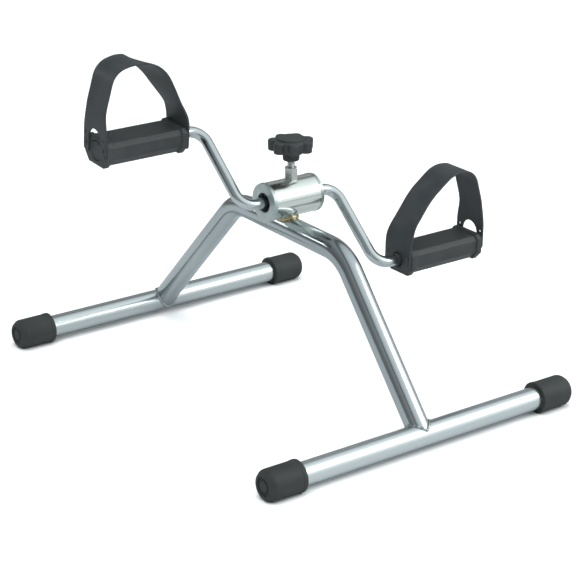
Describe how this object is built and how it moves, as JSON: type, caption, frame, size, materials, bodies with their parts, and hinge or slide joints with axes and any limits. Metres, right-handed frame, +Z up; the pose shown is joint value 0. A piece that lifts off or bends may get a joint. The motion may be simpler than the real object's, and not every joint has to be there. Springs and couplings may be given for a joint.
{
  "type": "pedal exerciser",
  "caption": "Free-standing pedal exerciser: bent tube frame on two capped foot bars, hub with a tension knob, opposed crank and two strapped pedals.",
  "frame": {"origin": "on the floor, under the middle of the four rubber feet", "axes": "+X along the foot bars and the crank's axis, to the user's right; +Y to the rear foot bar, away from the user; +Z up"},
  "size_m": [0.408, 0.5232, 0.3813],
  "materials": {
    "chrome_tube": "bright chrome plating on steel tube and rod",
    "zinc_steel": "zinc-plated turned steel",
    "weld_metal": "plated weld bead with slight straw tint",
    "cap_rubber": "matt moulded rubber",
    "strap_rubber": "satin flexible moulded strap",
    "black_plastic": "fine-grained black moulding",
    "bearing_plastic": "smooth black nylon",
    "shoe_metal": "plain cast",
    "friction_lining": "brown friction lining"
  },
  "bodies": {
    "frame": {"front_foot_bar": "chrome_tube", "rear_foot_bar": "chrome_tube", "main_beam": "chrome_tube", "front_bar_weld": "weld_metal", "rear_bar_weld": "weld_metal", "foot_cap_front_left": "cap_rubber", "foot_cap_front_right": "cap_rubber", "foot_cap_rear_left": "cap_rubber", "foot_cap_rear_right": "cap_rubber", "hub_shell": "chrome_tube", "hub_end_disc_left": "zinc_steel", "hub_end_disc_right": "zinc_steel", "hub_bush_left": "bearing_plastic", "hub_bush_right": "bearing_plastic", "hub_weld": "weld_metal", "tension_nut": "zinc_steel"},
    "crank": {"crank_rod": "chrome_tube", "friction_sleeve": "bearing_plastic", "pedal_spacer_left": "zinc_steel", "pedal_washer_left": "zinc_steel", "pedal_push_nut_left": "zinc_steel", "pedal_spacer_right": "zinc_steel", "pedal_washer_right": "zinc_steel", "pedal_push_nut_right": "zinc_steel"},
    "left_pedal": {"pedal_body_left": "black_plastic", "pedal_bush_inner_left": "bearing_plastic", "pedal_bush_outer_left": "bearing_plastic", "pedal_end_cap_left": "black_plastic", "pedal_strap_left": "strap_rubber", "strap_buttons_left": "black_plastic"},
    "right_pedal": {"pedal_body_right": "black_plastic", "pedal_bush_inner_right": "bearing_plastic", "pedal_bush_outer_right": "bearing_plastic", "pedal_end_cap_right": "black_plastic", "pedal_strap_right": "strap_rubber", "strap_buttons_right": "black_plastic"},
    "brake_slider": {"brake_shoe": "shoe_metal", "brake_lining": "friction_lining"},
    "knob": {"tension_screw": "zinc_steel", "tension_knob": "black_plastic", "knob_cover": "black_plastic"}
  },
  "joints": [
    {"name": "crank_spin", "type": "hinge", "parent": "frame", "child": "crank", "pos_m": [0, -0.0115, 0.2149], "axis": [1, 0, 0], "continuous": true},
    {"name": "left_pedal_spin", "type": "hinge", "parent": "crank", "child": "left_pedal", "pos_m": [-0.1444, 0.06732, 0.28366], "axis": [1, 0, 0], "continuous": true},
    {"name": "right_pedal_spin", "type": "hinge", "parent": "crank", "child": "right_pedal", "pos_m": [0.1444, -0.09032, 0.14614], "axis": [1, 0, 0], "continuous": true},
    {"name": "screw_travel", "type": "slide", "parent": "frame", "child": "brake_slider", "axis": [0, 0, 1], "range_m": [0, 0.00375]},
    {"name": "knob_turn", "type": "hinge", "parent": "brake_slider", "child": "knob", "pos_m": [0.0033, -0.0115, 0.27], "axis": [0, 0, 1], "range_deg": [0, 1080]}
  ],
  "couplings": [
    {"joint": "knob_turn", "follows": "screw_travel", "rad_per_m": 5026.5}
  ]
}
